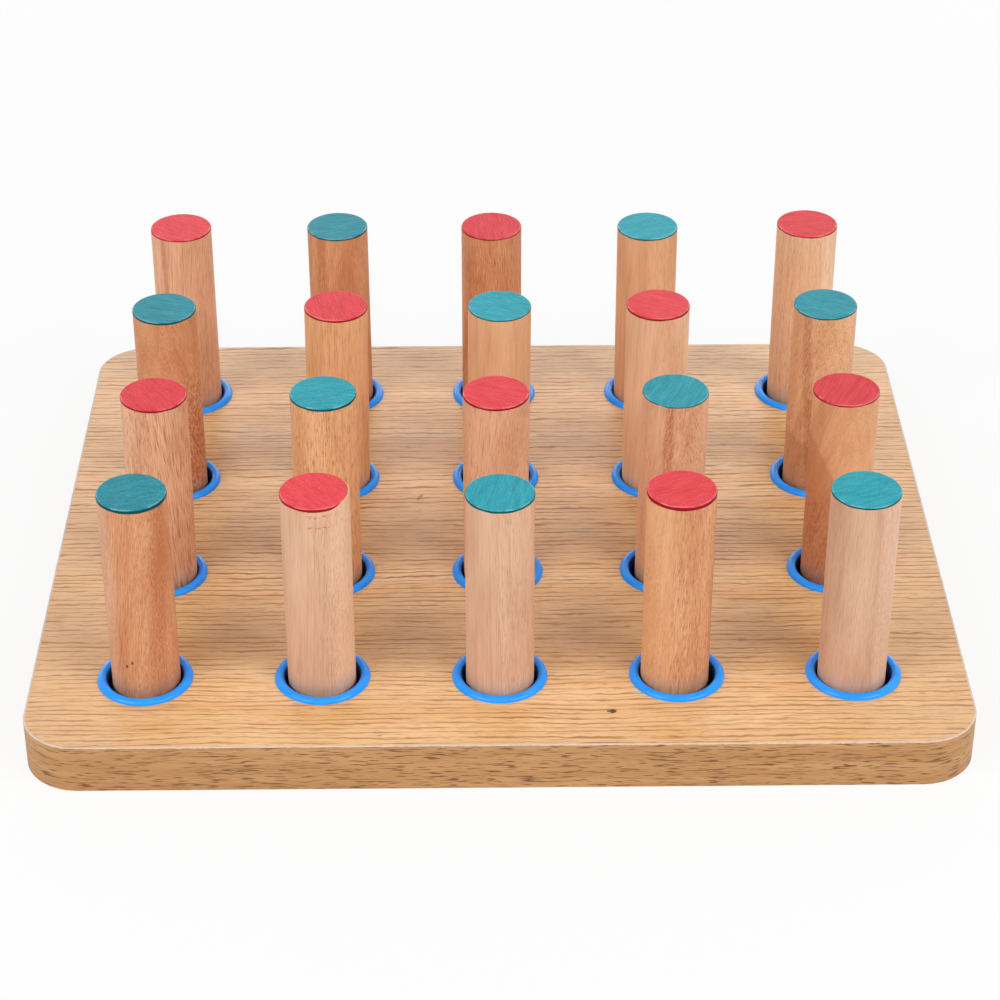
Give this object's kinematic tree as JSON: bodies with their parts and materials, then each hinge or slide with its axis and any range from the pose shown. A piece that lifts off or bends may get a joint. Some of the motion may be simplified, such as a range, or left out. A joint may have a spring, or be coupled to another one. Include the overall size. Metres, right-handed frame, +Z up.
{
  "type": "pegboard",
  "caption": "Free-standing laminated board with rounded corners and a grid of lined round sockets, each holding a loose wooden peg with a painted end, for lifting out and putting back.",
  "frame": {"origin": "middle of the board's flat underside", "axes": "+X along the board's long side to the right, -Y towards the front, +Z up along the pegs"},
  "size_m": [0.414, 0.348, 0.1201],
  "materials": {
    "oak_print": "satin melamine sheet with a printed oak grain",
    "oak_strip": "satin edging strip with a printed oak grain",
    "core_wood": "plain sawn softwood, glued edge to edge",
    "blue_plastic": "moulded, glossy",
    "beech_teal_end": "clear-finished beech, upper end painted satin teal",
    "beech_red_end": "clear-finished beech, upper end painted satin red"
  },
  "bodies": {
    "board": {"core_plank_a": "core_wood", "core_plank_b": "core_wood", "core_plank_c": "core_wood", "core_plank_d": "core_wood", "top_laminate": "oak_print", "base_laminate": "oak_print", "edge_band": "oak_strip", "hole_liner_a1": "blue_plastic", "hole_liner_a2": "blue_plastic", "hole_liner_a3": "blue_plastic", "hole_liner_a4": "blue_plastic", "hole_liner_a5": "blue_plastic", "hole_liner_b1": "blue_plastic", "hole_liner_b2": "blue_plastic", "hole_liner_b3": "blue_plastic", "hole_liner_b4": "blue_plastic", "hole_liner_b5": "blue_plastic", "hole_liner_c1": "blue_plastic", "hole_liner_c2": "blue_plastic", "hole_liner_c3": "blue_plastic", "hole_liner_c4": "blue_plastic", "hole_liner_c5": "blue_plastic", "hole_liner_d1": "blue_plastic", "hole_liner_d2": "blue_plastic", "hole_liner_d3": "blue_plastic", "hole_liner_d4": "blue_plastic", "hole_liner_d5": "blue_plastic"},
    "peg_a1": {"peg_a1": "beech_teal_end"},
    "peg_a2": {"peg_a2": "beech_red_end"},
    "peg_a3": {"peg_a3": "beech_teal_end"},
    "peg_a4": {"peg_a4": "beech_red_end"},
    "peg_a5": {"peg_a5": "beech_teal_end"},
    "peg_b1": {"peg_b1": "beech_red_end"},
    "peg_b2": {"peg_b2": "beech_teal_end"},
    "peg_b3": {"peg_b3": "beech_red_end"},
    "peg_b4": {"peg_b4": "beech_teal_end"},
    "peg_b5": {"peg_b5": "beech_red_end"},
    "peg_c1": {"peg_c1": "beech_teal_end"},
    "peg_c2": {"peg_c2": "beech_red_end"},
    "peg_c3": {"peg_c3": "beech_teal_end"},
    "peg_c4": {"peg_c4": "beech_red_end"},
    "peg_c5": {"peg_c5": "beech_teal_end"},
    "peg_d1": {"peg_d1": "beech_red_end"},
    "peg_d2": {"peg_d2": "beech_teal_end"},
    "peg_d3": {"peg_d3": "beech_red_end"},
    "peg_d4": {"peg_d4": "beech_teal_end"},
    "peg_d5": {"peg_d5": "beech_red_end"}
  },
  "joints": [
    {"name": "peg_a1_lift", "type": "slide", "parent": "board", "child": "peg_a1", "axis": [0, 0, 1], "range_m": [0, 0.12]},
    {"name": "peg_a2_lift", "type": "slide", "parent": "board", "child": "peg_a2", "axis": [0, 0, 1], "range_m": [0, 0.12]},
    {"name": "peg_a3_lift", "type": "slide", "parent": "board", "child": "peg_a3", "axis": [0, 0, 1], "range_m": [0, 0.12]},
    {"name": "peg_a4_lift", "type": "slide", "parent": "board", "child": "peg_a4", "axis": [0, 0, 1], "range_m": [0, 0.12]},
    {"name": "peg_a5_lift", "type": "slide", "parent": "board", "child": "peg_a5", "axis": [0, 0, 1], "range_m": [0, 0.12]},
    {"name": "peg_b1_lift", "type": "slide", "parent": "board", "child": "peg_b1", "axis": [0, 0, 1], "range_m": [0, 0.12]},
    {"name": "peg_b2_lift", "type": "slide", "parent": "board", "child": "peg_b2", "axis": [0, 0, 1], "range_m": [0, 0.12]},
    {"name": "peg_b3_lift", "type": "slide", "parent": "board", "child": "peg_b3", "axis": [0, 0, 1], "range_m": [0, 0.12]},
    {"name": "peg_b4_lift", "type": "slide", "parent": "board", "child": "peg_b4", "axis": [0, 0, 1], "range_m": [0, 0.12]},
    {"name": "peg_b5_lift", "type": "slide", "parent": "board", "child": "peg_b5", "axis": [0, 0, 1], "range_m": [0, 0.12]},
    {"name": "peg_c1_lift", "type": "slide", "parent": "board", "child": "peg_c1", "axis": [0, 0, 1], "range_m": [0, 0.12]},
    {"name": "peg_c2_lift", "type": "slide", "parent": "board", "child": "peg_c2", "axis": [0, 0, 1], "range_m": [0, 0.12]},
    {"name": "peg_c3_lift", "type": "slide", "parent": "board", "child": "peg_c3", "axis": [0, 0, 1], "range_m": [0, 0.12]},
    {"name": "peg_c4_lift", "type": "slide", "parent": "board", "child": "peg_c4", "axis": [0, 0, 1], "range_m": [0, 0.12]},
    {"name": "peg_c5_lift", "type": "slide", "parent": "board", "child": "peg_c5", "axis": [0, 0, 1], "range_m": [0, 0.12]},
    {"name": "peg_d1_lift", "type": "slide", "parent": "board", "child": "peg_d1", "axis": [0, 0, 1], "range_m": [0, 0.12]},
    {"name": "peg_d2_lift", "type": "slide", "parent": "board", "child": "peg_d2", "axis": [0, 0, 1], "range_m": [0, 0.12]},
    {"name": "peg_d3_lift", "type": "slide", "parent": "board", "child": "peg_d3", "axis": [0, 0, 1], "range_m": [0, 0.12]},
    {"name": "peg_d4_lift", "type": "slide", "parent": "board", "child": "peg_d4", "axis": [0, 0, 1], "range_m": [0, 0.12]},
    {"name": "peg_d5_lift", "type": "slide", "parent": "board", "child": "peg_d5", "axis": [0, 0, 1], "range_m": [0, 0.12]}
  ]
}
